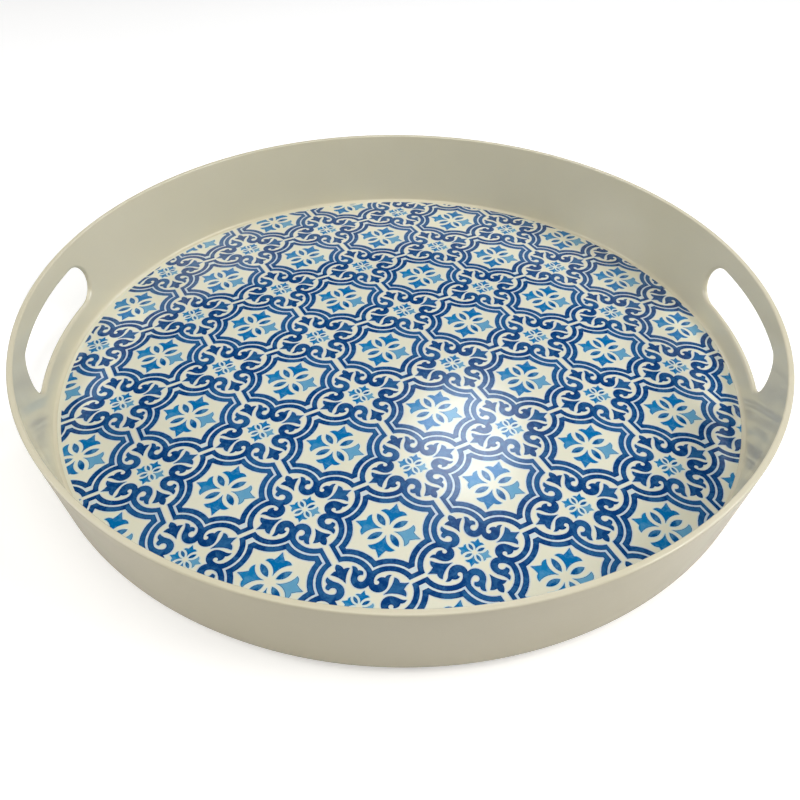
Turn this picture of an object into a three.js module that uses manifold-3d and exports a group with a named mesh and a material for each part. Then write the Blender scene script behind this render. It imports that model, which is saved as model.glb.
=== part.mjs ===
// A round serving tray moulded in melamine: a shallow pan with a flared wall, a soft-edged rim and
// two hand slots, a printed foil set in its crowned floor and a clear glaze pressed over the foil.
// Millimetres, +Z up. The origin is the centre of the plane that the tray stands on, and the two
// hand slots lie on the X axis.

import * as THREE from 'three';
import { mergeVertices } from 'three/addons/utils/BufferGeometryUtils.js';
import Module from 'manifold-3d';

// Overall size.
const RIM_RADIUS = 200;
const HEIGHT = 52;

// The wall leans outwards by WALL_LEAN. It ends in a flat rim, whose edges are rounded.
const WALL_LEAN = THREE.MathUtils.degToRad(8.45);
const WALL_THICKNESS = 3;
const RIM_ROUND = 0.8;
const OUTER_CORNER = 9;
const INNER_FILLET = 1.8;

// The floor is highest in the middle, so that the tray stands on a ring near its edge.
const FLOOR_TOP = 4;
const CROWN_RISE = 5.6;
const UNDERSIDE_LIFT = 1;
const FOOT_RING_INNER = 176;
const FOOT_RING_CHAMFER = 1;

// The foil and the glaze fill a shallow seat in the floor, each with a little air under it.
const FOIL_RADIUS = 188.3;
const FOIL_THICKNESS = 0.15;
const GLAZE_THICKNESS = 0.15;
const SEAT_CLEARANCE = 0.05;
const SEAT_RADIUS = FOIL_RADIUS + SEAT_CLEARANCE;
const SEAT_DEPTH = FOIL_THICKNESS + GLAZE_THICKNESS + 2 * SEAT_CLEARANCE;

// Hand slots: a straight-sided opening with fully round ends.
const SLOT_LENGTH = 99;
const SLOT_HEIGHT = 24;
const SLOT_CENTRE_HEIGHT = 28;
const SLOT_CUT_FROM = 170;
const SLOT_CUT_DEPTH = 40;

// Fineness of the round shapes.
const TURNED_SEGMENTS = 96;
const CROWN_STEPS = 6;
const SLOT_END_STEPS = 10;

// Points along an arc in the (radius, height) plane, both ends included.
function arc(centre, radius, from, to, steps) {
  return Array.from({ length: steps + 1 }, (_, i) => {
    const angle = from + ((to - from) * i) / steps;
    return new THREE.Vector2(
      centre.x + radius * Math.cos(angle),
      centre.y + radius * Math.sin(angle),
    );
  });
}

// Points of a crowned surface from the axis out to its edge. It falls by CROWN_RISE, as a parabola.
function crown(edgeRadius, edgeHeight) {
  return Array.from({ length: CROWN_STEPS + 1 }, (_, i) => {
    const share = i / CROWN_STEPS;
    return new THREE.Vector2(share * edgeRadius, edgeHeight + CROWN_RISE * (1 - share * share));
  });
}

// A solid turned about +Z from a half profile that starts and ends on the axis.
function turned(profile) {
  return new THREE.LatheGeometry(profile, TURNED_SEGMENTS).rotateX(Math.PI / 2);
}

// Half profile of the pan: out along the underside, up the outer face, over the rim and back in.
function panProfile() {
  const slope = Math.tan(WALL_LEAN);
  const slant = 1 / Math.cos(WALL_LEAN);
  const outerEdge = new THREE.Vector2(RIM_RADIUS - RIM_ROUND, HEIGHT - RIM_ROUND);

  // Radius of the wall's outer face at a height, and of its inner face.
  const outerFace = (z) => outerEdge.x + RIM_ROUND * slant - (outerEdge.y - z) * slope;
  const innerFace = (z) => outerFace(z) - WALL_THICKNESS * slant;

  const innerEdge = new THREE.Vector2(
    innerFace(outerEdge.y) + RIM_ROUND * slant,
    outerEdge.y,
  );

  const cornerCentre = new THREE.Vector2(
    outerFace(OUTER_CORNER) - OUTER_CORNER * slant,
    OUTER_CORNER,
  );
  const filletHeight = FLOOR_TOP + INNER_FILLET;
  const filletCentre = new THREE.Vector2(
    innerFace(filletHeight) - INNER_FILLET * slant,
    filletHeight,
  );

  return [
    ...crown(FOOT_RING_INNER, UNDERSIDE_LIFT),
    new THREE.Vector2(FOOT_RING_INNER + FOOT_RING_CHAMFER, 0),
    ...arc(cornerCentre, OUTER_CORNER, -Math.PI / 2, -WALL_LEAN, 7),
    ...arc(outerEdge, RIM_ROUND, -WALL_LEAN, 0, 1),
    ...arc(outerEdge, RIM_ROUND, 0, Math.PI / 2, 4).slice(1),
    ...arc(innerEdge, RIM_ROUND, Math.PI / 2, Math.PI - WALL_LEAN, 4),
    ...arc(filletCentre, INNER_FILLET, -WALL_LEAN, -Math.PI / 2, 5),
    new THREE.Vector2(SEAT_RADIUS, FLOOR_TOP),
    ...crown(SEAT_RADIUS, FLOOR_TOP - SEAT_DEPTH).reverse(),
  ];
}

// A thin disc that follows the crown of the floor. Its edge rests at the given height.
function crownedDisc(thickness, edgeHeight) {
  return turned([
    ...crown(FOIL_RADIUS, edgeHeight),
    ...crown(FOIL_RADIUS, edgeHeight + thickness).reverse(),
  ]);
}

// The bar that cuts one hand slot. It lies along +X, with its rounded ends on either side of it.
function slotCutter() {
  const round = SLOT_HEIGHT / 2;
  const reach = SLOT_LENGTH / 2 - round;
  const outline = new THREE.Shape();
  outline.absarc(reach, 0, round, -Math.PI / 2, Math.PI / 2, false);
  outline.absarc(-reach, 0, round, Math.PI / 2, (3 * Math.PI) / 2, false);
  outline.closePath();
  return new THREE.ExtrudeGeometry(outline, {
    depth: SLOT_CUT_DEPTH,
    bevelEnabled: false,
    curveSegments: SLOT_END_STEPS,
  })
    .rotateX(Math.PI / 2)
    .rotateZ(Math.PI / 2)
    .translate(SLOT_CUT_FROM, 0, SLOT_CENTRE_HEIGHT);
}

const wasm = await Module();
wasm.setup();

// A three.js geometry as a solid that can be cut.
function toSolid(geometry) {
  const bare = geometry.clone();
  bare.deleteAttribute('normal');
  bare.deleteAttribute('uv');
  const merged = mergeVertices(bare, 1e-4);
  return new wasm.Manifold(
    new wasm.Mesh({
      numProp: 3,
      vertProperties: new Float32Array(merged.attributes.position.array),
      triVerts: new Uint32Array(merged.index.array),
    }),
  );
}

function toGeometry(solid) {
  const mesh = solid.getMesh();
  const geometry = new THREE.BufferGeometry();
  geometry.setAttribute('position', new THREE.BufferAttribute(mesh.vertProperties, 3));
  geometry.setIndex(new THREE.BufferAttribute(mesh.triVerts, 1));
  geometry.computeVertexNormals();
  return geometry;
}

// The pan with a slot cut through its wall at +X and another at -X.
function panGeometry() {
  const slot = slotCutter();
  const opposite = slot.clone().rotateZ(Math.PI);
  const pan = toSolid(turned(panProfile()));
  return toGeometry(pan.subtract(toSolid(slot)).subtract(toSolid(opposite)));
}

function piece(name, geometry, finish) {
  const mesh = new THREE.Mesh(geometry, new THREE.MeshStandardMaterial(finish));
  mesh.name = name;
  return mesh;
}

const foilEdge = FLOOR_TOP - SEAT_DEPTH + SEAT_CLEARANCE;
const glazeEdge = foilEdge + FOIL_THICKNESS + SEAT_CLEARANCE;

const tray = new THREE.Group();
tray.add(
  piece('tray_body', panGeometry(), { color: 0xe6dfca, roughness: 0.35, metalness: 0 }),
  piece('printed_foil', crownedDisc(FOIL_THICKNESS, foilEdge), {
    color: 0x2a5f9e,
    roughness: 0.5,
    metalness: 0,
  }),
  piece('glaze_layer', crownedDisc(GLAZE_THICKNESS, glazeEdge), {
    color: 0xffffff,
    roughness: 0.15,
    metalness: 0,
    transparent: true,
    opacity: 0.15,
  }),
);

export default tray;
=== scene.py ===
# The looks of a round melamine serving tray: a fine turned body with two hand slots, and a
# printed floor sheet whose blue tile ornament is laid on in thin films of ink.
# Shapes are worked out in millimetres and become metres as they turn into meshes. The studio
# round them is in metres. +Z is up.

from math import acos, atan2, ceil, cos, hypot, pi, radians, sin, sqrt, tan

import bpy
import numpy as np
from mathutils import Matrix, Vector
from mathutils.geometry import delaunay_2d_cdt

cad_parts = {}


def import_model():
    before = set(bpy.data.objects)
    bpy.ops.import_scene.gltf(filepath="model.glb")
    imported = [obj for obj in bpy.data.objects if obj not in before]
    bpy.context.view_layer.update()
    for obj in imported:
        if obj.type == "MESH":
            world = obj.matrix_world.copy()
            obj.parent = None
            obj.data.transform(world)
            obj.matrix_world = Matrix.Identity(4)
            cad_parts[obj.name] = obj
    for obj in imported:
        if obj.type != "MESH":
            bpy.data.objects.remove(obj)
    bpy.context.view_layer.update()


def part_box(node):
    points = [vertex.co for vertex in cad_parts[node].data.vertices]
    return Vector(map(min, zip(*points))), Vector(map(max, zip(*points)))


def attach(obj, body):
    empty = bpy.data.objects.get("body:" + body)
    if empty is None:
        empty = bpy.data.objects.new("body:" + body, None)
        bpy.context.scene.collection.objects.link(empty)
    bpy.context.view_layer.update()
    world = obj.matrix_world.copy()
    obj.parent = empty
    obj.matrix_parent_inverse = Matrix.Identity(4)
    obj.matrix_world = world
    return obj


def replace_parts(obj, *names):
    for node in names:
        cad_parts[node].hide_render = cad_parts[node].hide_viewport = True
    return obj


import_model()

MILLIMETRE = 0.001


def millimetres(corner):
    """A corner of the frame, in millimetres."""
    return np.array(corner) / MILLIMETRE


# ---------------------------------------------------------------- sizes

TRAY_HIGH = millimetres(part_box("tray_body")[1])
FOIL_LOW, FOIL_HIGH = (millimetres(corner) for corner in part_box("printed_foil"))
GLAZE_LOW, GLAZE_HIGH = (millimetres(corner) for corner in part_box("glaze_layer"))

RIM_RADIUS = TRAY_HIGH[0]
HEIGHT = TRAY_HIGH[2]
FOIL_RADIUS = FOIL_HIGH[0]

# The wall leans outwards and ends in a flat rim, whose edges are rounded.
WALL_LEAN = radians(8.45)
WALL_THICKNESS = 3
RIM_ROUND = 0.8
RIM_EDGE_HEIGHT = HEIGHT - RIM_ROUND
OUTER_CORNER = 9
INNER_FILLET = 1.8

# The floor is highest in the middle, and the tray stands on a flat ring near its edge.
FLOOR_TOP = 4
CROWN_RISE = GLAZE_HIGH[2] - FLOOR_TOP
SEAT_CLEARANCE = 0.05
SEAT_RADIUS = FOIL_RADIUS + SEAT_CLEARANCE
SEAT_FLOOR = FOIL_LOW[2] - SEAT_CLEARANCE
UNDERSIDE_LIFT = 1
FOOT_RING_INNER = 176
FOOT_RING_CHAMFER = 1

# Each hand slot has straight sides, fully round ends and a fully rounded edge.
SLOT_LENGTH = 99
SLOT_HEIGHT = 24
SLOT_CENTRE_HEIGHT = 28
SLOT_ROUND = SLOT_HEIGHT / 2
SLOT_REACH = SLOT_LENGTH / 2 - SLOT_ROUND
SLOT_EDGE_ROUND = WALL_THICKNESS / 2

# Fineness of the turned shapes.
COLUMNS = 480
UNDERSIDE_STEPS = 16
CORNER_STEPS = 12
RIM_STEPS = 10
FILLET_STEPS = 10
FLOOR_STEPS = 24
SHARP_ANGLE = radians(32)

# Round each slot, a window in the wall's grid gives way to rings that follow the slot. The window
# reaches WINDOW_COLUMNS to either side, and from WINDOW_BOTTOM up to WINDOW_TOP.
WINDOW_COLUMNS = 24
WINDOW_BOTTOM = 11
WINDOW_TOP = 45
WINDOW_ROWS = 16
WINDOW_LEVELS = np.linspace(WINDOW_BOTTOM, WINDOW_TOP, WINDOW_ROWS + 1)
WINDOW_RINGS = 7
SLOT_EDGE_STEPS = 10


# ---------------------------------------------------------------- meshes

def make_piece(name, points, faces, material):
    """A piece of the object, from points in millimetres. It rides on the tray."""
    mesh = bpy.data.meshes.new(name)
    mesh.from_pydata((np.asarray(points) * MILLIMETRE).tolist(), [], faces)
    mesh.materials.append(material)
    mesh.shade_smooth()
    mesh.set_sharp_from_angle(angle=SHARP_ANGLE)
    piece = bpy.data.objects.new(name, mesh)
    bpy.context.scene.collection.objects.link(piece)
    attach(piece, "root")
    return piece


def arc(centre, radius, start, end, steps):
    """Points (radius, height) along an arc of a profile, both ends included."""
    angles = np.linspace(start, end, steps + 1)
    return np.column_stack((centre[0] + radius * np.cos(angles), centre[1] + radius * np.sin(angles)))


def crown_height(radius, edge_radius, edge_height):
    """Height of a crowned surface, which falls from the axis to its edge as a parabola."""
    return edge_height + CROWN_RISE * (1 - (radius / edge_radius) ** 2)


def crown(edge_radius, edge_height, steps):
    """Profile points of a crowned surface from near the axis out to its edge."""
    radii = np.linspace(0, edge_radius, steps + 1)[1:]
    return np.column_stack((radii, crown_height(radii, edge_radius, edge_height)))


def turned_grid(profile, start, end):
    """Points and quads of a profile turned about +Z, closed by a pole at its start and its end.

    A quad's key is its row and column. The poles' heights are start and end.
    """
    angles = np.arange(COLUMNS) * 2 * pi / COLUMNS
    radii, heights = profile[:, :1], profile[:, 1:]
    rows = np.stack(
        (radii * np.cos(angles), radii * np.sin(angles), heights + 0 * angles), axis=2
    )
    points = [*rows.reshape(-1, 3), (0, 0, start), (0, 0, end)]
    quads = {}
    for row in range(len(profile) - 1):
        for column in range(COLUMNS):
            beside = (column + 1) % COLUMNS
            low, high = row * COLUMNS, (row + 1) * COLUMNS
            quads[row, column] = (low + column, low + beside, high + beside, high + column)
    first_pole = len(profile) * COLUMNS
    last_row = (len(profile) - 1) * COLUMNS
    caps = []
    for column in range(COLUMNS):
        beside = (column + 1) % COLUMNS
        caps.append((first_pole, beside, column))
        caps.append((first_pole + 1, last_row + column, last_row + beside))
    return points, quads, caps


# ---------------------------------------------------------------- the moulded body

def outer_face(height):
    """Radius of the wall's outer face."""
    widest = RIM_RADIUS - RIM_ROUND + RIM_ROUND / cos(WALL_LEAN)
    return widest - (RIM_EDGE_HEIGHT - height) * tan(WALL_LEAN)


def inner_face(height):
    """Radius of the wall's inner face."""
    return outer_face(height) - WALL_THICKNESS / cos(WALL_LEAN)


def body_profile():
    """The pan's half profile, and the rows where the two wall windows start."""
    corner = (outer_face(OUTER_CORNER) - OUTER_CORNER / cos(WALL_LEAN), OUTER_CORNER)
    fillet_height = FLOOR_TOP + INNER_FILLET
    fillet = (inner_face(fillet_height) - INNER_FILLET / cos(WALL_LEAN), fillet_height)
    outer_edge = (RIM_RADIUS - RIM_ROUND, RIM_EDGE_HEIGHT)
    inner_edge = (inner_face(RIM_EDGE_HEIGHT) + RIM_ROUND / cos(WALL_LEAN), RIM_EDGE_HEIGHT)
    outer_window = [(outer_face(height), height) for height in WINDOW_LEVELS]
    inner_window = [(inner_face(height), height) for height in WINDOW_LEVELS[::-1]]
    before = np.concatenate((
        crown(FOOT_RING_INNER, UNDERSIDE_LIFT, UNDERSIDE_STEPS),
        [(FOOT_RING_INNER + FOOT_RING_CHAMFER, 0)],
        arc(corner, OUTER_CORNER, -pi / 2, -WALL_LEAN, CORNER_STEPS),
    ))
    rim = np.concatenate((
        arc(outer_edge, RIM_ROUND, -WALL_LEAN, pi / 2, RIM_STEPS),
        arc(inner_edge, RIM_ROUND, pi / 2, pi - WALL_LEAN, RIM_STEPS),
    ))
    after = np.concatenate((
        arc(fillet, INNER_FILLET, -WALL_LEAN, -pi / 2, FILLET_STEPS),
        [(SEAT_RADIUS, FLOOR_TOP)],
        crown(SEAT_RADIUS, SEAT_FLOOR, FLOOR_STEPS)[::-1],
    ))
    profile = np.concatenate((before, outer_window, rim, inner_window, after))
    outer_row = len(before)
    inner_row = outer_row + len(outer_window) + len(rim)
    return profile, outer_row, inner_row


def window_loop():
    """The (column, level) pairs round a window, from its lower left, as seen from outside."""
    side, top = WINDOW_COLUMNS, WINDOW_ROWS
    bottom_edge = [(column, 0) for column in range(-side, side)]
    right_edge = [(side, level) for level in range(top)]
    top_edge = [(column, top) for column in range(side, -side, -1)]
    left_edge = [(-side, level) for level in range(top, 0, -1)]
    return bottom_edge + right_edge + top_edge + left_edge


def on_wall(across, height, outwards):
    """A point of the wall at +X: outwards is 0 on its inner face and 1 on its outer one."""
    inner = sqrt(inner_face(height) ** 2 - across ** 2)
    outer = sqrt(outer_face(height) ** 2 - across ** 2)
    return (inner + (outer - inner) * outwards, across, height)


def slot_rings(loop):
    """Rings of points from a window's outer face, through the slot's rounded edge, to its inner face."""
    columns, levels = np.array(loop).T
    angles = columns * 2 * pi / COLUMNS
    heights = WINDOW_LEVELS[levels]
    rises = heights - SLOT_CENTRE_HEIGHT
    outer_flat = np.column_stack((outer_face(heights) * np.sin(angles), rises))
    inner_flat = np.column_stack((inner_face(heights) * np.sin(angles), rises))
    middle = (inner_flat + outer_flat) / 2
    core = np.column_stack((np.clip(middle[:, 0], -SLOT_REACH, SLOT_REACH), 0 * heights))
    away = middle - core
    away /= np.linalg.norm(away, axis=1)[:, None]

    def ring(flat, outwards):
        return [on_wall(across, up + SLOT_CENTRE_HEIGHT, outwards) for across, up in flat]

    mouth = core + away * (SLOT_ROUND + SLOT_EDGE_ROUND)
    shares = np.arange(1, WINDOW_RINGS) / WINDOW_RINGS
    down = [ring(outer_flat + (mouth - outer_flat) * share, 1) for share in shares]
    edge = []
    for turn in np.linspace(pi / 2, -pi / 2, SLOT_EDGE_STEPS + 1):
        flat = core + away * (SLOT_ROUND + SLOT_EDGE_ROUND * (1 - cos(turn)))
        edge.append(ring(flat, (1 + sin(turn)) / 2))
    back = [ring(inner_flat + (mouth - inner_flat) * share, 0) for share in shares[::-1]]
    return down + edge + back


def tray_shell(material):
    """The moulded pan: one closed skin with a hand slot at +X and another at -X."""
    profile, outer_row, inner_row = body_profile()
    underside_pole = UNDERSIDE_LIFT + CROWN_RISE
    points, quads, caps = turned_grid(profile, underside_pole, SEAT_FLOOR + CROWN_RISE)
    loop = window_loop()
    for half_turn in (0, COLUMNS // 2):
        for column in range(-WINDOW_COLUMNS, WINDOW_COLUMNS):
            for level in range(WINDOW_ROWS):
                del quads[outer_row + level, (column + half_turn) % COLUMNS]
                del quads[inner_row + level, (column + half_turn) % COLUMNS]
        sign = 1 if half_turn == 0 else -1
        outside = [(outer_row + level) * COLUMNS + (column + half_turn) % COLUMNS
                   for column, level in loop]
        inside = [(inner_row + WINDOW_ROWS - level) * COLUMNS + (column + half_turn) % COLUMNS
                  for column, level in loop]
        rings = [outside]
        for ring in slot_rings(loop):
            rings.append(range(len(points), len(points) + len(ring)))
            points += [(sign * x, sign * y, z) for x, y, z in ring]
        rings.append(inside)
        for ring, following in zip(rings, rings[1:]):
            for i in range(len(loop)):
                j = (i + 1) % len(loop)
                caps.append((ring[i], ring[j], following[j], following[i]))
    return make_piece("tray_shell", points, [*quads.values(), *caps], material)


# ---------------------------------------------------------------- the ornament

# The tile repeats on a square lattice, which lies turned on the tray. Positions inside a motif
# are measured from its own centre: the big flower, or the small one half a tile away.
PITCH = 57.46
HALF = PITCH / 2
PRINT_TURN = radians(27.4)
PRINT_ORIGIN = np.array((2.64, 41.13))
ARC_TOLERANCE = 0.05


def outline(*points):
    """A closed outline through points (x, y, turn). The stretch after a point is an arc that
    turns left by that many degrees, or a straight line where turn is 0."""
    path = []
    for (x0, y0, turn), (x1, y1, _) in zip(points, points[1:] + points[:1]):
        path.append((x0, y0))
        if turn == 0:
            continue
        bend = radians(turn)
        chord = hypot(x1 - x0, y1 - y0)
        radius = chord / 2 / sin(abs(bend) / 2)
        rise = chord / 2 / tan(bend / 2)
        centre_x = (x0 + x1) / 2 - (y1 - y0) / chord * rise
        centre_y = (y0 + y1) / 2 + (x1 - x0) / chord * rise
        start = atan2(y0 - centre_y, x0 - centre_x)
        steps = max(2, ceil(abs(bend) / (2 * acos(max(0, 1 - ARC_TOLERANCE / radius)))))
        for step in range(1, steps):
            angle = start + bend * step / steps
            path.append((centre_x + radius * cos(angle), centre_y + radius * sin(angle)))
    return anticlockwise(np.array(path))


def signed_area(path):
    x, y = path.T
    return (x * np.roll(y, -1) - np.roll(x, -1) * y).sum() / 2


def anticlockwise(path):
    return path if signed_area(path) > 0 else path[::-1]


def flipped(path, x_sign, y_sign):
    """A mirror image of an outline, still anticlockwise."""
    return anticlockwise(path * (x_sign, y_sign))


QUADRANTS = ((1, 1), (-1, 1), (-1, -1), (1, -1))

# Scrolls and lilies round the small flower.
TALL_SCROLL = outline(
    (7.9, 6.9, -120), (1.95, 11.6, -40), (3.75, 15.05, 37), (5.95, 19.0, -100),
    (7.3, 15.9, -54), (9.0, 14.35, -52), (8.1, 12.8, 0), (7.5, 13.15, 198),
    (6.6, 9.9, 72), (10.2, 13.6, 0), (11.3, 13.6, 0), (10.8, 10.0, 0),
)
WIDE_SCROLL = outline(
    (7.9, 6.9, 151), (15.15, 2.8, 12), (16.8, 4.9, -40), (19.25, 6.85, 84),
    (16.05, 7.1, 91), (12.3, 7.6, 0), (12.8, 6.95, -219), (10.7, 7.1, -65),
    (14.4, 10.2, 0), (14.5, 11.4, 0), (10.8, 10.0, 0),
)
TALL_LILY = outline(
    (-0.25, 12.4, -36), (4.75, 18.6, 45), (2.1, 19.4, 60),
    (0.3, 23.0, 75), (-1.3, 20.1, 40), (-4.4, 19.3, -42),
)
WIDE_LILY = outline(
    (11.5, 0, -45), (19.7, -5.3, 75), (20.55, -1.85, -20),
    (24.2, 0, -20), (20.55, 1.85, 75), (19.7, 5.3, -45),
)

# Petals and leaves of the big flower. The small flower has the same ones at half size.
PETAL = outline((2.7, 0, -88), (10.5, 0, -88))
LEAF = outline(
    (2.0, 2.1, 78), (2.3, 11.2, -76), (6.0, 9.6, 10),
    (10.7, 11.3, 12), (9.85, 6.8, -78), (11.7, 3.1, 62),
)
SMALL_FLOWER = 0.5

# The frame round the big flower is a star, whose notches are lobes round each small flower. Each
# level of it has the lobes' radius, and the half widths of the upright and the level paths.
TALL_LOBE = np.array((0, 13.5))
WIDE_LOBE = np.array((14.75, 0))
STAR_LEVELS = ((10.2, 1.7, 1.05), (12.8, 3.7, 3.25), (13.9, 4.95, 6.0), (16.6, 7.5, 9.0))


def star(level):
    """One level of the frame round the big flower."""
    radius, upright, level_path = STAR_LEVELS[level]
    between = WIDE_LOBE - TALL_LOBE
    span = np.hypot(*between)
    reach = sqrt(radius ** 2 - (span / 2) ** 2)
    notch = (TALL_LOBE + WIDE_LOBE) / 2 + reach * np.array((-between[1], between[0])) / span

    def lobe(centre, start, end):
        angles = [atan2(*(point - centre)[::-1]) for point in (start, end)]
        step = 2 * acos(1 - ARC_TOLERANCE / radius)
        steps = ceil(abs(angles[1] - angles[0]) / step)
        turns = np.linspace(*angles, steps + 1)
        return centre + radius * np.column_stack((np.cos(turns), np.sin(turns)))

    top = np.array((upright, TALL_LOBE[1] + sqrt(radius ** 2 - upright ** 2)))
    side = np.array((WIDE_LOBE[0] + sqrt(radius ** 2 - level_path ** 2), level_path))
    corner = np.concatenate((lobe(TALL_LOBE, top, notch), lobe(WIDE_LOBE, notch, side)[1:])) - HALF
    return anticlockwise(np.concatenate((
        corner,
        corner[::-1] * (-1, 1),
        corner * (-1, -1),
        corner[::-1] * (1, -1),
    )))


def petals(scale):
    """Four petals along the axes."""
    upright = anticlockwise(PETAL[:, ::-1])
    flat = (flipped(PETAL, 1, 1), flipped(PETAL, -1, 1))
    tall = (flipped(upright, 1, 1), flipped(upright, 1, -1))
    return [petal * scale for petal in (*flat, *tall)]


def leaves(scale):
    """Four leaves along the diagonals."""
    return [flipped(LEAF, *signs) * scale for signs in QUADRANTS]


def scrolls():
    """The eight scrolls that branch from the frame, two in each corner of the tile."""
    corners = []
    for signs in QUADRANTS:
        for scroll in (TALL_SCROLL, WIDE_SCROLL):
            corners.append(anticlockwise((scroll - HALF) * signs))
    return corners


def lilies():
    """The four lilies round the small flower."""
    tall = (flipped(TALL_LILY, 1, 1), flipped(TALL_LILY, 1, -1))
    wide = (flipped(WIDE_LILY, 1, 1), flipped(WIDE_LILY, -1, 1))
    return [*tall, *wide]


# ---------------------------------------------------------------- films of ink

# Films are filled with triangles by a Delaunay triangulation of all that their outlines enclose.
# Points closer together than MERGE_DISTANCE become one.
WITHIN_HULL = 0
MERGE_DISTANCE = 0.0001

# Where an outline turns, a corner stays sharp if the cosine of the turn is above this.
SHARP_CORNER_COSINE = 0.8


def winding(places, loops):
    """How many times the loops wind anticlockwise round each place."""
    starts = np.concatenate(loops)
    ends = np.concatenate([np.roll(loop, -1, axis=0) for loop in loops])
    x, y = places[:, :1], places[:, 1:]
    (x0, y0), (x1, y1) = starts.T, ends.T
    left = (x1 - x0) * (y - y0) > (x - x0) * (y1 - y0)
    rising = (y0 <= y) & (y1 > y) & left
    falling = (y1 <= y) & (y0 > y) & ~left
    return rising.sum(axis=1) - falling.sum(axis=1)


def fill(loops, limit=None):
    """Points and triangles of the area that the loops wind round, cut off by a limit outline."""
    borders = loops if limit is None else [*loops, limit]
    edges = []
    start = 0
    for loop in borders:
        steps = np.arange(len(loop))
        edges += np.column_stack((start + steps, start + (steps + 1) % len(loop))).tolist()
        start += len(loop)
    corners = [Vector(corner) for corner in np.concatenate(borders)]
    points, _, triangles, *_ = delaunay_2d_cdt(corners, edges, [], WITHIN_HULL, MERGE_DISTANCE)
    points = np.array(points)
    triangles = np.array(triangles)
    middles = points[triangles].mean(axis=1)
    kept = winding(middles, loops) > 0
    if limit is not None:
        kept &= winding(middles, [limit]) > 0
    used, triangles = np.unique(triangles[kept], return_inverse=True)
    return points[used], triangles.reshape(-1, 3)


def border(triangles):
    """The directed edges round a set of triangles, with the triangles on their left."""
    edges = np.concatenate((triangles[:, :2], triangles[:, 1:], triangles[:, ::2][:, ::-1]))
    known = set(map(tuple, edges.tolist()))
    return [(a, b) for a, b in known if (b, a) not in known]


def joined(loops):
    """The outlines round the union of some loops."""
    points, triangles = fill(loops)
    following = {}
    for a, b in sorted(border(triangles)):
        following.setdefault(a, []).append(b)
    outlines = []
    while following:
        start = place = next(iter(following))
        path = []
        while place in following:
            path.append(place)
            onward = following[place]
            nearby = onward.pop()
            if not onward:
                del following[place]
            place = nearby
        if place == start and len(path) > 2:
            outlines.append(points[path])
    return outlines


def spread(loops, distance):
    """Every loop moved outwards, or inwards if distance is negative. Sharp corners are bevelled."""
    moved = []
    for loop in loops:
        ahead = np.roll(loop, -1, axis=0) - loop
        ahead /= np.linalg.norm(ahead, axis=1)[:, None]
        normal = np.column_stack((ahead[:, 1], -ahead[:, 0]))
        before = np.roll(normal, 1, axis=0)
        path = []
        for corner, first, second in zip(loop, before, normal):
            cosine = first @ second
            if cosine > SHARP_CORNER_COSINE:
                path.append(corner + distance * (first + second) / (1 + cosine))
            else:
                path.append(corner + distance * first)
                path.append(corner + distance * second)
        moved.append(np.array(path))
    return moved


AXES = np.array(((cos(PRINT_TURN), sin(PRINT_TURN)), (-sin(PRINT_TURN), cos(PRINT_TURN))))
LIMIT_STEPS = 720
FILM_THICKNESS = 0.02

# The print lies a little off the tray's axis, and leaves a margin of bare sheet round it.
PRINT_CENTRE = np.array((0.9, -0.4))
PRINT_MARGIN = 1.1
PRINT_RADIUS = FOIL_RADIUS - PRINT_MARGIN

# Every part of a motif has a number, which picks its tone from the four of its ink. The lines
# have one set of parts, and the flowers have another.
TONE_STOPS = (0, 0.25, 0.5, 1)
UPRIGHT_PART, LEFT_PART, RIGHT_PART, FLOWER_PART = TONE_STOPS
PETAL_PART, DEEP_LEAF, PALE_LEAF, PALEST_LEAF = TONE_STOPS
PETAL_HALF_WIDTH = 1.95
BIG_FLOWER_REACH = 15.7
SMALL_FLOWER_REACH = 10


def tile_centres(shift):
    """Tray positions of every motif that may show, shift tiles away from a small flower."""
    most = ceil(2 * FOIL_RADIUS / PITCH)
    steps = np.arange(-most, most + 1)
    lattice = np.array([(column, row) for column in steps for row in steps])
    return PRINT_ORIGIN + (lattice + shift) * PITCH @ AXES


def print_limit():
    """The round edge of the print."""
    angles = np.arange(LIMIT_STEPS) * 2 * pi / LIMIT_STEPS
    return PRINT_CENTRE + PRINT_RADIUS * np.column_stack((np.cos(angles), np.sin(angles)))


def motif_film(motifs):
    """Places every motif over the whole print: points, triangles, and each point's place inside
    its motif with its part number."""
    limit = print_limit()
    safe_reach = PRINT_RADIUS * cos(pi / LIMIT_STEPS)
    points, triangles, marks = [], [], []
    count = 0
    for loops, centres, part in motifs:
        flat, faces = fill(loops)
        for centre in centres:
            placed = centre + flat @ AXES
            distances = np.hypot(*(placed - PRINT_CENTRE).T)
            if distances.min() > PRINT_RADIUS:
                continue
            patch = faces
            if distances.max() > safe_reach:
                turned = [centre + loop @ AXES for loop in loops]
                placed, patch = fill(turned, limit)
            points.append(placed)
            triangles.append(patch + count)
            local = (placed - centre) @ AXES.T
            marks.append(np.column_stack((local, part(local))))
            count += len(placed)
    return np.concatenate(points), np.concatenate(triangles), np.concatenate(marks)


def ink_film(name, motifs, layer, material):
    """A closed film of ink in one layer of the glaze. It follows the crown of the floor."""
    flat, triangles, marks = motif_film(motifs)
    low = SHEET_TOP + FILM_SPACING * (layer + 0.5)
    rise = crown_height(np.hypot(*flat.T), FOIL_RADIUS, 0)
    top = np.column_stack((flat, rise + low + FILM_THICKNESS))
    bottom = np.column_stack((flat, rise + low))
    count = len(flat)
    sides = [(a, a + count, b + count, b) for a, b in border(triangles)]
    faces = [*triangles.tolist(), *(triangles[:, ::-1] + count).tolist(), *sides]
    piece = make_piece(name, np.concatenate((top, bottom)), faces, material)
    places = piece.data.attributes.new("motif", "FLOAT_VECTOR", "POINT")
    places.data.foreach_set("vector", np.concatenate((marks, marks)).ravel())
    return piece


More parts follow.
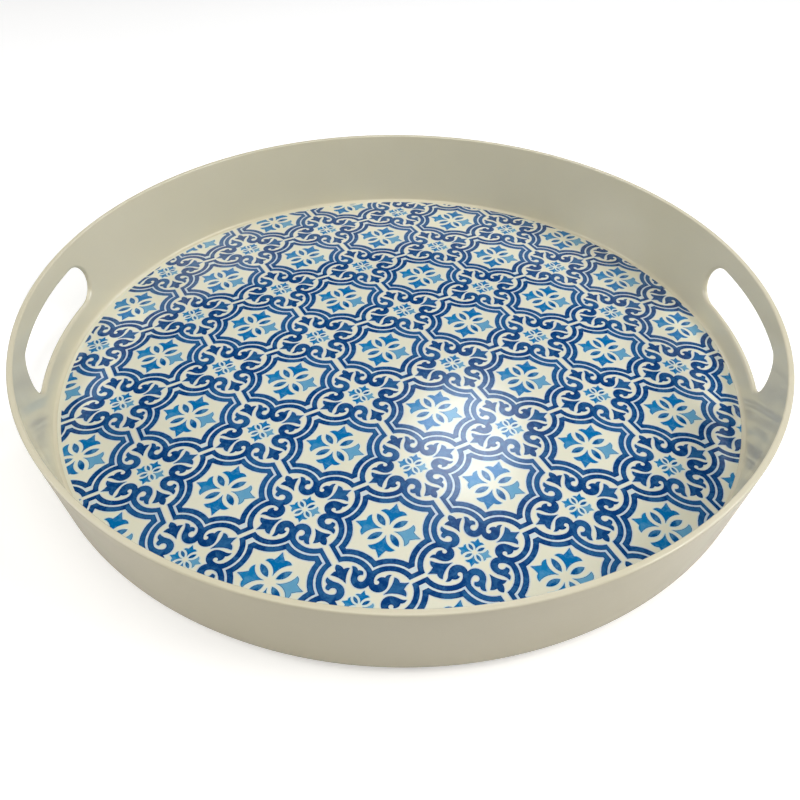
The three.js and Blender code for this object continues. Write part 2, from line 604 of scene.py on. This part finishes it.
def line_part(reach):
    """Numbers the parts of a motif: its flower, which ends at reach, and the sides of its frame."""
    def part(local):
        x, y = local.T
        side = np.select([abs(y) > abs(x), x < 0], [UPRIGHT_PART, LEFT_PART], RIGHT_PART)
        return np.where(np.hypot(x, y) < reach, FLOWER_PART, side)
    return part


def flower_part(scale):
    """Numbers the parts of a flower: the petals and the four leaves, which differ."""
    def part(local):
        x, y = local.T
        leaf = np.select([(x > 0) & (y < 0), (x < 0) & (y > 0)], [PALEST_LEAF, PALE_LEAF], DEEP_LEAF)
        return np.where(np.minimum(abs(x), abs(y)) < PETAL_HALF_WIDTH * scale, PETAL_PART, leaf)
    return part


# ---------------------------------------------------------------- materials

# Colours are 8-bit sRGB. A pair is a darker and a paler tone of one material.
IVORY = ((229, 221, 192), (235, 227, 201))
IVORY_SPECK = (206, 196, 164)
CREAM = ((236, 233, 209), (241, 238, 217))
CREAM_FIBRE = (222, 218, 192)

# An ink has a tone for each of the TONE_STOPS, and a wet tone that pools in it.
PALE_TONES = ((214, 226, 226), (196, 214, 226), (200, 216, 229), (212, 230, 228))
PALE_WET = (228, 236, 232)
OUTLINE_TONES = ((8, 54, 112), (10, 58, 116), (20, 70, 128), (4, 90, 146))
OUTLINE_WET = (40, 98, 150)
NAVY_TONES = ((8, 62, 124), (8, 66, 128), (32, 88, 144), (8, 68, 130))
NAVY_WET = (62, 122, 170)
SKY_TONES = ((0, 84, 148), (4, 115, 180), (20, 128, 188), (110, 170, 204))
SKY_WET = (96, 162, 200)

# How strongly fine grain roughens the edges of a pool.
POOL_GRAIN = 0.3

# How far the waves of a glossy surface stand up, in metres.
PEEL_DEPTH = 0.00006


def linear(red, green, blue):
    """A colour given as 8-bit sRGB, in linear light, by the formula of the sRGB standard."""
    parts = []
    for part in (red, green, blue):
        share = part / 255
        parts.append(share / 12.92 if share <= 0.04045 else ((share + 0.055) / 1.055) ** 2.4)
    return (*parts, 1)


class Nodes:
    """Builds the node tree of one material around its Principled BSDF."""

    # Sockets of the Mix node that carry its two colours and the mixed one.
    MIX_FIRST, MIX_SECOND, MIX_RESULT = 6, 7, 2

    def __init__(self, name):
        self.material = bpy.data.materials.new(name)
        self.material.use_nodes = True
        self.tree = self.material.node_tree
        self.surface = self.tree.nodes["Principled BSDF"]

    def add(self, kind, settings=None, **inputs):
        """A node with its settings, and inputs by name: a value, or another node's output."""
        node = self.tree.nodes.new(kind)
        for setting, value in (settings or {}).items():
            setattr(node, setting, value)
        for title, value in inputs.items():
            self.feed(node.inputs[title.replace("_", " ")], value)
        return node

    def feed(self, socket, value):
        if isinstance(value, bpy.types.NodeSocket):
            self.tree.links.new(value, socket)
        else:
            socket.default_value = value

    def place(self):
        """Position on the object, in metres."""
        return self.add("ShaderNodeTexCoord").outputs["Object"]

    def noise(self, vector, scale, detail, roughness=0.5, distortion=0.0):
        """A cloudy pattern of values from 0 to 1. Its features get finer as scale rises."""
        node = self.add(
            "ShaderNodeTexNoise", Vector=vector, Scale=scale, Detail=detail,
            Roughness=roughness, Distortion=distortion,
        )
        return node.outputs["Fac"]

    def ramp(self, factor, positions, colours):
        """A colour ramp, which has one of the sRGB colours at each of the positions."""
        node = self.add("ShaderNodeValToRGB", Fac=factor)
        # A new ramp has an element at each end. More of them start out halfway between the two.
        elements = node.color_ramp.elements
        while len(elements) < len(positions):
            elements.new(0.5)
        for element, position, colour in zip(elements, positions, colours):
            element.position = position
            element.color = linear(*colour)
        return node.outputs["Color"]

    def remap(self, value, low, high, to_low, to_high):
        """Stretches the range from low to high, and holds the value at its ends."""
        node = self.add("ShaderNodeMapRange", Value=value)
        for title, number in zip(("From Min", "From Max", "To Min", "To Max"),
                                 (low, high, to_low, to_high)):
            node.inputs[title].default_value = number
        return node.outputs["Result"]

    def mix(self, factor, first, second):
        """The first colour where factor is 0, and the second where it is 1."""
        node = self.add("ShaderNodeMix", {"data_type": "RGBA"})
        self.feed(node.inputs["Factor"], factor)
        self.feed(node.inputs[self.MIX_FIRST], first)
        self.feed(node.inputs[self.MIX_SECOND], second)
        return node.outputs[self.MIX_RESULT]

    def math(self, operation, *values):
        node = self.add("ShaderNodeMath", {"operation": operation})
        for socket, value in zip(node.inputs, values):
            self.feed(socket, value)
        return node.outputs["Value"]

    def peel(self, height, strength):
        """A surface normal for the shallow waves of a glossy surface."""
        node = self.add("ShaderNodeBump", Height=height, Distance=PEEL_DEPTH, Strength=strength)
        return node.outputs["Normal"]

    def finish(self, **inputs):
        """The material, once its surface has these inputs."""
        for title, value in inputs.items():
            self.feed(self.surface.inputs[title.replace("_", " ")], value)
        return self.material


def melamine():
    """Moulded melamine: warm ivory, satin to gloss, with a soft orange peel from the mould."""
    nodes = Nodes("melamine")
    place = nodes.place()
    cloud = nodes.noise(place, scale=9, detail=3)
    grain = nodes.noise(place, scale=1400, detail=2)
    waves = nodes.noise(place, scale=220, detail=1)
    scuffs = nodes.noise(place, scale=60, detail=4, roughness=0.6)
    ivory = nodes.ramp(cloud, positions=(0.3, 0.7), colours=IVORY)
    speck = nodes.remap(grain, low=0.35, high=0.75, to_low=0, to_high=0.05)
    return nodes.finish(
        Base_Color=nodes.mix(speck, ivory, linear(*IVORY_SPECK)),
        Roughness=nodes.remap(scuffs, low=0.3, high=0.7, to_low=0.13, to_high=0.18),
        IOR=1.6,
        Normal=nodes.peel(waves, strength=0.35),
    )


def glazed(nodes, **inputs):
    """Finishes a material of the print under the clear glaze that covers it."""
    place = nodes.place()
    waves = nodes.noise(place, scale=260, detail=1)
    wear = nodes.noise(place, scale=45, detail=6, roughness=0.65, distortion=0.8)
    return nodes.finish(
        Roughness=0.55,
        Specular_IOR_Level=0.0,
        Coat_Weight=1.0,
        Coat_IOR=1.55,
        Coat_Roughness=nodes.remap(wear, low=0.35, high=0.7, to_low=0.13, to_high=0.18),
        Coat_Normal=nodes.peel(waves, strength=0.3),
        **inputs,
    )


def foil_paper():
    """The printed sheet's own cream, a little warmer in places."""
    nodes = Nodes("foil_paper")
    place = nodes.place()
    cloud = nodes.noise(place, scale=26, detail=4)
    grain = nodes.noise(place, scale=900, detail=3)
    cream = nodes.ramp(cloud, positions=(0.32, 0.7), colours=CREAM)
    fibre = nodes.remap(grain, low=0.4, high=0.8, to_low=0, to_high=0.12)
    return glazed(nodes, Base_Color=nodes.mix(fibre, cream, linear(*CREAM_FIBRE)))


def wash(name, tones, wet_tone, wetness):
    """A hand-painted ink. Each part of a motif has its own tone, and a paler wet tone pools in it."""
    nodes = Nodes(name)
    place = nodes.add("ShaderNodeAttribute", {"attribute_name": "motif"}).outputs["Vector"]
    part = nodes.add("ShaderNodeSeparateXYZ", Vector=place).outputs["Z"]
    tone = nodes.ramp(part, TONE_STOPS, tones)
    pool = nodes.noise(place, scale=0.2, detail=3, distortion=0.9)
    grain = nodes.noise(place, scale=1.1, detail=3)
    depth = nodes.math("MULTIPLY_ADD", grain, POOL_GRAIN, pool)
    share = nodes.remap(depth, low=0.58, high=0.8, to_low=0, to_high=wetness)
    return glazed(nodes, Base_Color=nodes.mix(share, tone, linear(*wet_tone)))


# ---------------------------------------------------------------- the print

# The glaze's depth is shared out in layers. The underside of a film is halfway up its own layer,
# and the topmost layer has no film.
SHEET_TOP = GLAZE_LOW[2]
GLAZE_LAYERS = 4
FILM_SPACING = (GLAZE_HIGH[2] - CROWN_RISE - SHEET_TOP) / GLAZE_LAYERS

# How far a halo reaches past its ornament, and how wide the dark edge lines are.
HALO = 0.5
EDGE_LINE = 0.4
FLOWER_EDGE_LINE = 0.24

BIG_CENTRES = tile_centres((0.5, 0.5))
SMALL_CENTRES = tile_centres((0, 0))


def foil_sheet(material):
    """The printed sheet, a closed crowned disc that fills its seat."""
    steps = FLOOR_STEPS * 2
    profile = np.concatenate((
        crown(FOIL_RADIUS, FOIL_LOW[2], steps),
        crown(FOIL_RADIUS, SHEET_TOP, steps)[::-1],
    ))
    points, quads, caps = turned_grid(profile, FOIL_LOW[2] + CROWN_RISE, SHEET_TOP + CROWN_RISE)
    return make_piece("foil_sheet", points, [*quads.values(), *caps], material)


def print_films():
    """The inks, from the pale halo up to the lighter blues inside the dark outlines."""
    frame_lines = [star(0), star(1)[::-1], star(2), star(3)[::-1]]
    branches = joined([*frame_lines, *scrolls()])
    big_flower = [*petals(1), *leaves(1)]
    small_flower = [*petals(SMALL_FLOWER), *leaves(SMALL_FLOWER)]
    halo = spread([star(0), star(3)[::-1], *scrolls(), *big_flower], HALO)
    small_halo = spread([*lilies(), *small_flower], HALO)
    on_big, on_small = line_part(BIG_FLOWER_REACH), line_part(SMALL_FLOWER_REACH)
    ink_film("ink_pale", (
        (halo, BIG_CENTRES, on_big),
        (small_halo, SMALL_CENTRES, on_small),
    ), layer=0, material=wash("ink_pale", PALE_TONES, PALE_WET, wetness=0.6))
    ink_film("ink_outline", (
        ([*branches, *big_flower], BIG_CENTRES, on_big),
        ([*lilies(), *small_flower], SMALL_CENTRES, on_small),
    ), layer=1, material=wash("ink_outline", OUTLINE_TONES, OUTLINE_WET, wetness=0.4))
    ink_film("ink_navy", (
        (spread(branches, -EDGE_LINE), BIG_CENTRES, on_big),
        (spread(lilies(), -EDGE_LINE), SMALL_CENTRES, on_small),
    ), layer=2, material=wash("ink_navy", NAVY_TONES, NAVY_WET, wetness=0.5))
    ink_film("ink_sky", (
        (spread(big_flower, -FLOWER_EDGE_LINE), BIG_CENTRES, flower_part(1)),
        (spread(small_flower, -FLOWER_EDGE_LINE * SMALL_FLOWER), SMALL_CENTRES,
         flower_part(SMALL_FLOWER)),
    ), layer=2, material=wash("ink_sky", SKY_TONES, SKY_WET, wetness=0.6))


# ---------------------------------------------------------------- studio

# The camera, with its distances in metres and its sensor and lens in millimetres.
CAMERA_AIM = Vector((0, 0, FLOOR_TOP)) * MILLIMETRE
CAMERA_DISTANCE = 0.4713
CAMERA_AZIMUTH = radians(-1.45)
CAMERA_ELEVATION = radians(39.465)
CAMERA_ROLL = radians(0.875)
CAMERA_SENSOR = 36
CAMERA_LENS = 36.676
CAMERA_SHIFT = (-0.0006, -0.0508)
CAMERA_NEAREST = 0.01

# The surroundings, with the floor's half width in metres.
WHITE = (1, 1, 1, 1)
WORLD_LIGHT = 0.012
FLOOR_GLOW = 0.48
FLOOR_COLOUR = (233, 231, 228)
FLOOR_HALF_WIDTH = 6


def camera():
    data = bpy.data.cameras.new("camera")
    data.sensor_width = CAMERA_SENSOR
    data.lens = CAMERA_LENS
    data.shift_x, data.shift_y = CAMERA_SHIFT
    data.clip_start = CAMERA_NEAREST
    eye = bpy.data.objects.new("camera", data)
    back = Vector((
        sin(CAMERA_AZIMUTH) * cos(CAMERA_ELEVATION),
        -cos(CAMERA_AZIMUTH) * cos(CAMERA_ELEVATION),
        sin(CAMERA_ELEVATION),
    ))
    eye.location = CAMERA_AIM + back * CAMERA_DISTANCE
    turn = Matrix.Rotation(CAMERA_AZIMUTH, 3, "Z")
    tilt = Matrix.Rotation(pi / 2 - CAMERA_ELEVATION, 3, "X")
    roll = Matrix.Rotation(CAMERA_ROLL, 3, "Z")
    eye.rotation_euler = (turn @ tilt @ roll).to_euler()
    bpy.context.scene.collection.objects.link(eye)
    bpy.context.scene.camera = eye


def soft_light(name, place, aim, size, watts, colour=(1, 1, 1)):
    """A soft oval light that faces its aim."""
    data = bpy.data.lights.new(name, "AREA")
    data.shape = "ELLIPSE"
    data.size, data.size_y = size
    data.energy = watts
    data.color = colour
    light = bpy.data.objects.new(name, data)
    light.location = place
    light.rotation_euler = (Vector(aim) - Vector(place)).to_track_quat("-Z", "Y").to_euler()
    bpy.context.scene.collection.objects.link(light)


def world(strength, seen_strength):
    """White surroundings. They show more brightly behind the floor than they light the tray."""
    surroundings = bpy.data.worlds.new("world")
    surroundings.use_nodes = True
    tree = surroundings.node_tree
    background = tree.nodes["Background"]
    background.inputs["Color"].default_value = WHITE
    path = tree.nodes.new("ShaderNodeLightPath")
    reach = tree.nodes.new("ShaderNodeMapRange")
    reach.inputs["To Min"].default_value = strength
    reach.inputs["To Max"].default_value = seen_strength
    tree.links.new(path.outputs["Is Camera Ray"], reach.inputs["Value"])
    tree.links.new(reach.outputs["Result"], background.inputs["Strength"])
    bpy.context.scene.world = surroundings


def floor():
    """A plain pale floor. It glows a little to the camera alone, so it lights nothing itself."""
    half = FLOOR_HALF_WIDTH
    mesh = bpy.data.meshes.new("floor")
    mesh.from_pydata([(-half, -half, 0), (half, -half, 0), (half, half, 0), (-half, half, 0)],
                     [], [(0, 1, 2, 3)])
    nodes = Nodes("floor")
    seen = nodes.add("ShaderNodeLightPath").outputs["Is Camera Ray"]
    mesh.materials.append(nodes.finish(
        Base_Color=linear(*FLOOR_COLOUR), Roughness=0.9, Specular_IOR_Level=0.1,
        Emission_Color=WHITE,
        Emission_Strength=nodes.math("MULTIPLY", seen, FLOOR_GLOW),
    ))
    ground = bpy.data.objects.new("floor", mesh)
    bpy.context.scene.collection.objects.link(ground)


def studio():
    """Three soft lights shape the tray, and a small cool one makes the highlight on its floor."""
    bpy.context.scene.view_settings.view_transform = "Standard"
    world(WORLD_LIGHT, FLOOR_GLOW)
    floor()
    middle = (0, 0, 0)
    soft_light("overhead", place=(0, -0.35, 1.5), aim=middle, size=(1.4, 1.2), watts=9.8)
    soft_light("left", place=(-1.4, -0.2, 0.8), aim=middle, size=(1.0, 0.8), watts=8.9)
    soft_light("right", place=(1.3, -0.2, 1.1), aim=middle, size=(1.0, 0.8), watts=16)
    soft_light(
        "highlight", place=(0.167, 0.729, 0.893), aim=(0.032, -0.072, 0.009), size=(0.24, 0.28),
        watts=1.1, colour=(0.84, 0.97, 1.14),
    )
    camera()


# ---------------------------------------------------------------- the object

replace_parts(tray_shell(melamine()), "tray_body")
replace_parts(foil_sheet(foil_paper()), "printed_foil", "glaze_layer")
print_films()
studio()
